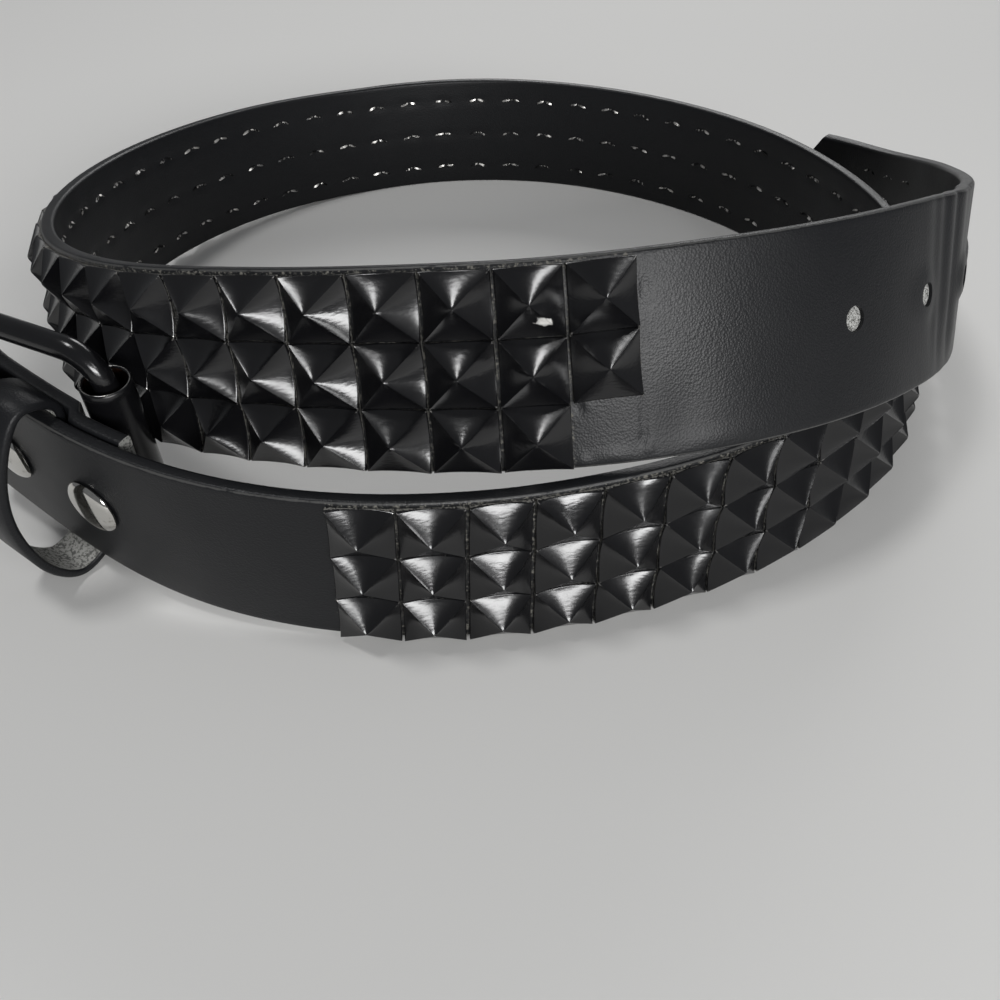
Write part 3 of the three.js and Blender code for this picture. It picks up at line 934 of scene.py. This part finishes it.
def make_legs():
    points, faces = [], []
    for (cx, cy), side in ((centre, side) for centre in centres for side in (1, -1)):
        start = len(points)
        drop = rng.normal(*leg_drop)
        sunk = max(rng.normal(*leg_sunk), 0)
        twist = rng.normal(*leg_twist)
        length = leg_long * (1 + rng.normal(*leg_stretch))
        for t in (k / (leg_cuts - 1) for k in range(leg_cuts)):
            x = cx + side * (leg_from + t * length)
            y = cy + leg_above - drop * t**1.3
            wide = leg_wide * (1 - 0.45 * abs(2 * t - 1)**3) / 2
            z = -half - leg_bow * math.sin(math.pi * t)**0.6 + leg_sink + sunk
            for edge, layer in ((-1, 0), (1, 0), (1, 1), (-1, 1)):
                points.append([x, y + edge * wide, z + edge * wide * twist + layer * leg_thick])
        faces += tube_faces(leg_cuts, 4, start)
    return make_mesh("stud_legs", place(points), faces, 50)


add_piece("stud_legs", make_legs(), [steel], "lacquer", "belt")

# %% [markdown]
# A snap is one profile spun round its axis: a cap with a rolled rim and a shallow dome, a
# post through both layers, and a disc that closes it behind.

# %% Snap fasteners
snap_around = 40


def spin(profile, around):
    """Points and faces of a profile of radius and height spun round z."""
    angles = 2 * np.pi * np.arange(around) / around
    points = np.array([[r * math.cos(a), r * math.sin(a), h] for r, h in profile for a in angles])
    return points, tube_faces(len(profile), around)


def snap_profile(x):
    """From the middle of the back disc round to the top of the cap's dome."""
    cap, post, back = snap_dia / 2, snap_post / 2, snap_back / 2
    face = half + gap
    behind = float(flap_middle(np.array([x]))[0]) - half - gap
    profile = [(0.05, behind - 0.9), (back - 0.9, behind - 0.9), (back - 0.3, behind - 0.8),
               (back, behind - 0.5), (back - 0.1, behind - 0.1), (post, behind), (post, face),
               (cap - 0.5, face - 0.2), (cap - 0.1, face - 0.05), (cap, face + 0.3),
               (cap - 0.2, face + 0.65)]
    for a in np.radians(np.linspace(12, 88, 10)):
        profile.append(((cap - 0.35) * math.cos(a), face + 0.6 + (snap_dome - 0.6) * math.sin(a)))
    return profile


def add_snap(name, x, node):
    points, faces = spin(snap_profile(x), snap_around)
    mesh = make_mesh(name, move_by(place_axes(x, middle, 0), points), faces, 40)
    add_piece(name, mesh, [chrome], "chrome", "belt", node)


add_snap("snap_near_buckle", snap_first, "snap_1")
add_snap("snap_past_keeper", snap_second, "snap_2")

# %% [markdown]
# The keeper is a leather band sewn into a loop, which stands out in front, limp and empty.
# A thin rounded strip is swept along a closed curve, with suede on its inward faces.

# %% Keeper loop
keeper_round, keeper_cuts = 0.45, 12
suede_faces = (0, 1)  # the faces of the section that look inward
keeper_back = -(half + gap + keeper_thick / 2)
keeper_curve = np.array([
    # out of the strap's face, up
    [keeper_back, strap_width * 0.12],
    [keeper_back, strap_width * 0.50],
    [keeper_back, strap_width * 0.88],
    [keeper_back * 0.72, strap_width + keeper_thick * 1.1],
    [keeper_reach * 0.36, strap_width + keeper_drop],
    [keeper_reach * 0.82, strap_width * 0.84],
    [keeper_reach, strap_width * 0.50],
    [keeper_reach * 0.84, strap_width * 0.12],
    [keeper_reach * 0.40, -keeper_drop],
    [keeper_back * 0.72, -keeper_thick * 1.1],
])


def round_loop(corners, cuts):
    """A closed Catmull-Rom curve through corners."""
    spots = []
    for i in range(len(corners)):
        near = [corners[(i + k - 1) % len(corners)] for k in range(4)]
        spots += [catmull_rom(*near, k / cuts) for k in range(cuts)]
    return np.array(spots)


def make_keeper():
    curve = round_loop(keeper_curve, keeper_cuts)
    way = np.roll(curve, -1, 0) - np.roll(curve, 1, 0)
    way /= np.linalg.norm(way, axis=1)[:, None]
    side = np.stack([way[:, 1], -way[:, 0]], 1)
    wide, thick, r = keeper_wide / 2, keeper_thick / 2, keeper_round
    section = [(-wide + r, thick), (0, thick), (wide - r, thick), (wide, thick - r), (wide, -thick + r)]
    section += [(-along, -deep) for along, deep in section]
    points = []
    for spot, across in zip(curve, side):
        for along, deep in section:
            z, y = spot + across * deep
            points.append([along, y, z])
    faces = ring_faces(len(curve), len(section), closed=True)
    mesh = make_mesh("keeper", move_by(place_axes(keeper_at, 0, 0), points), faces, 50)
    mark(mesh, "dust", 0)
    mark(mesh, "from_corner", 1)
    for k, face in enumerate(mesh.polygons):
        face.material_index = 1 if k % len(section) in suede_faces else 0
    return mesh


add_piece("keeper_band", make_keeper(), [leather, suede], "leather", "belt", "keeper_loop")

# %% [markdown]
# The buckle is bent from round wire: two arms, two bends and a far bar, closed by a
# thinner hinge bar in the fold. A circle swept along straights and arcs makes it. Its own
# axes are x from the hinge bar to the roller, y up and z out.

# %% Buckle frame
wire_around, bar_around = 18, 16
arm_cuts, bend_cuts, half_bar_cuts, hinge_cuts, ball_cuts = 14, 10, 5, 12, 5
bend_wear, bend_reach = 0.25, 3
arm = middle + frame_play + wire_dia / 2
far_bar = frame_long - bar_dia / 2 - gap
swing = math.asin(roller_inset / frame_long)
buckle_axes = place_axes(0, middle, -fold_radius) @ Matrix.Rotation(swing, 4, "Y")


def wire_path():
    """The frame's centre line, from the upper arm's end round to the lower one's."""
    start, bend = -bar_dia / 2 - gap, far_bar - frame_corner
    spots = [[x, arm] for x in np.linspace(start, bend, arm_cuts)]
    spots += [[bend + frame_corner * math.sin(a), arm - frame_corner * (1 - math.cos(a))]
              for a in np.radians(np.linspace(90 / bend_cuts, 90, bend_cuts))]
    spots += [[far_bar, y] for y in np.linspace(arm - frame_corner, 0, half_bar_cuts)[1:]]
    upper = np.array(spots)
    return np.vstack([upper, (upper * [1, -1])[-2::-1]])


def sweep(path, radii, around):
    """A round wire along a path in the x and y plane, with a radius for each point."""
    way = np.gradient(path, axis=0)
    way /= np.linalg.norm(way, axis=1)[:, None]
    side = np.stack([way[:, 1], -way[:, 0], 0 * way[:, 0]], 1)
    points = []
    for spot, across, r in zip(path, side, radii):
        for k in range(around):
            a = 2 * math.pi * k / around
            points.append([*spot, 0] + r * (math.cos(a) * across + np.array([0, 0, math.sin(a)])))
    return np.array(points), tube_faces(len(path), around)


def capped(path, radius):
    """Adds a half ball to both ends of a path by extra points with falling radii."""
    turns = np.radians(np.linspace(90, 8, ball_cuts))
    first, last = path[0] - path[1], path[-1] - path[-2]
    first, last = first / np.linalg.norm(first), last / np.linalg.norm(last)
    head = [path[0] + first * radius * math.cos(a) for a in turns[::-1]]
    tail = [path[-1] + last * radius * math.cos(a) for a in turns]
    ends = [radius * math.sin(a) for a in turns]
    radii = ends[::-1] + [radius] * (len(path) - 2) + ends
    return np.vstack([head, path[1:-1], tail]), radii


def make_frame():
    points, faces = sweep(*capped(wire_path(), wire_dia / 2), wire_around)
    bar_line = np.array([[0, y] for y in np.linspace(arm, -arm, hinge_cuts)])
    bar, bar_faces = sweep(bar_line, [bar_dia / 2] * hinge_cuts, bar_around)
    faces += moved_on(bar_faces, len(points))
    points = np.vstack([points, bar])
    mesh = make_mesh("buckle", move_by(buckle_axes, points), faces, 40)
    near_bar = bell(points[:, 0] - far_bar + bend_reach, bend_reach)
    near_arm = bell(np.abs(points[:, 1]) - arm + bend_reach, bend_reach)
    return mark_lacquer(mesh, bend_wear * (near_bar * near_arm))


add_piece("buckle_wire", make_frame(), [lacquer], "lacquer", "buckle", "buckle_frame")

# %% [markdown]
# The roller is a plain tube with rounded rims, black outside, its rims rubbed bright and
# its bore rusty brown. The prong is a ring on the hinge bar with a flat pin that narrows
# to its end.

# %% Roller and prong
roller_around, ring_around, pin_around = 36, 32, 16
roller_cuts, pin_cuts = 9, 16
roller_lip, end_run = 0.3, 2

# Rings of the roller's faces: the two rims, and the first one of the bore
rim_rings, first_bore_ring = (1, 5 + roller_cuts), 7 + roller_cuts


def turn_ring(profile, around, x):
    """A closed profile of radius and place along y, turned round the y axis at x."""
    points = spin(profile, around)[0][:, [0, 2, 1]] + [x, 0, 0]
    return points, ring_faces(len(profile), around, closed=True)


def make_roller():
    long = arm - frame_corner + wire_dia / 2
    r, bore, lip = roller_dia / 2, roller_dia / 2 - roller_wall, roller_lip
    straight = np.linspace(-long + end_run, long - end_run, roller_cuts)
    profile = [(bore, -long + lip), (bore + lip, -long), (r - lip, -long), (r, -long + lip)]
    profile += [(r, y) for y in straight]
    profile += [(r, long - lip), (r - lip, long), (bore + lip, long), (bore, long - lip)]
    profile += [(bore, y) for y in straight[::-1]]
    points, faces = turn_ring(profile, roller_around, far_bar)
    mesh = mark_lacquer(make_mesh("roller", move_by(buckle_axes, points), faces, 50))
    for k, face in enumerate(mesh.polygons):
        ring = k // roller_around
        face.material_index = 1 if ring >= first_bore_ring else 2 if ring in rim_rings else 0
    return mesh


def make_prong():
    eye = bar_dia / 2 + gap
    edge = [(eye + 1.3, 1.2), (eye + 1.0, 1.6), (eye + 0.3, 1.6), (eye, 1.3)]
    ring, faces = turn_ring([(r, -y) for r, y in edge[::-1]] + edge, ring_around, 0)
    pin = []
    stops = np.linspace(eye + 0.6, prong_long, pin_cuts)
    for x in stops:
        t = (x - stops[0]) / (stops[-1] - stops[0])
        taper = 1 - 0.55 * smoothstep(np.array(t), 0.75, 1.0)
        wide, thick = prong_thick / 2 * taper, prong_thick * 0.4 * taper
        for k in range(pin_around):
            a = 2 * math.pi * k / pin_around
            square = 1 / max(abs(math.cos(a)), abs(math.sin(a)))**0.6
            pin.append([x, wide * square * math.cos(a), thick * square * math.sin(a)])
    faces += moved_on(tube_faces(pin_cuts, pin_around), len(ring))
    turn = Matrix.Rotation(math.radians(prong_turn), 3, "Y")
    points = np.vstack([ring, pin]) @ np.array(turn).T
    return mark_lacquer(make_mesh("prong", move_by(buckle_axes, points), faces, 45))


add_piece("roller_tube", make_roller(), [lacquer, tube_steel, rim_steel], "lacquer", "roller_tube", "roller")
add_piece("prong_pin", make_prong(), [lacquer], "lacquer", "prong_pin", "prong")

# %% [markdown]
# The belt stands on a plain pale floor that fills the view. Black gloss shows only what it
# reflects: a low soft panel in front that the studs' upper flanks pick up, two small ones
# for sharper lights, a wide one behind, and a dim grey surround.

# %% Floor and light
floor_half, floor_colour = 4.0, (0.72, 0.715, 0.70)
surround_colour, surround_strength = (0.80, 0.82, 0.85), 0.20
panels = [
    # name, place, aim, width, height, power
    ("front_panel", (0.44, -1.25, 0.45), (0.02, -0.08, 0.03), 0.70, 0.28, 14),
    ("side_panel", (0.80, -0.95, 0.85), (0.02, -0.05, 0.05), 0.20, 0.20, 1.4),
    ("ceiling_panel", (-0.36, -0.10, 1.2), (0.02, 0, 0), 0.24, 0.20, 3.4),
    ("back_panel", (0.35, 1.5, 0.9), (0, 0, 0.03), 1.2, 0.6, 12),
]


def add_floor():
    material, tree, shader = start_material("pale_floor")
    feed(tree, shader, {"Base Color": floor_colour, "Roughness": 0.9, "Specular IOR Level": 0.2})
    mesh = bpy.data.meshes.new("floor")
    corners = [(x * floor_half, y * floor_half, 0) for x, y in ((-1, -1), (1, -1), (1, 1), (-1, 1))]
    mesh.from_pydata(corners, [], [(0, 1, 2, 3)])
    mesh.materials.append(material)
    floor = link("floor", mesh)


def add_panel(name, place_at, aim_at, wide, high, power):
    """A soft rectangular light that faces a point."""
    light = bpy.data.lights.new(name, "AREA")
    light.shape, light.size, light.size_y, light.energy = "RECTANGLE", wide, high, power
    panel = link(name, light)
    panel.location = place_at
    panel.rotation_euler = (Vector(aim_at) - Vector(place_at)).to_track_quat("-Z", "Y").to_euler()


add_floor()
for panel in panels:
    add_panel(*panel)

world = bpy.data.worlds.new("studio")
bpy.context.scene.world = world
world.use_nodes = True
feed(world.node_tree, world.node_tree.nodes["Background"],
     {"Color": surround_colour, "Strength": surround_strength})
bpy.context.scene.view_settings.view_transform = "Standard"
print("lights:", len(bpy.data.lights))

# %% [markdown]
# The camera stands where the photo was taken from, close in front and looking down at
# about 41 degrees, with a lens slightly wide of normal.

# %% Camera
camera_place = (0.0047, -0.2433, 0.1466)
look_down, roll = math.radians(41.26), math.radians(-0.43)
camera_data = bpy.data.cameras.new("camera")
camera_data.sensor_width, camera_data.lens, camera_data.clip_start = 36, 33.12, 0.01
camera = link("camera", camera_data)
camera.matrix_world = (Matrix.Translation(camera_place)
                       @ Matrix.Rotation(math.pi / 2 - look_down, 4, "X")
                       @ Matrix.Rotation(roll, 4, "Z"))
bpy.context.scene.camera = camera
print("camera at", [round(v, 3) for v in camera.location])

# %% [markdown]
# Last, the scene is brought up to date.

# %% Bringing the scene up to date
bpy.context.view_layer.update()
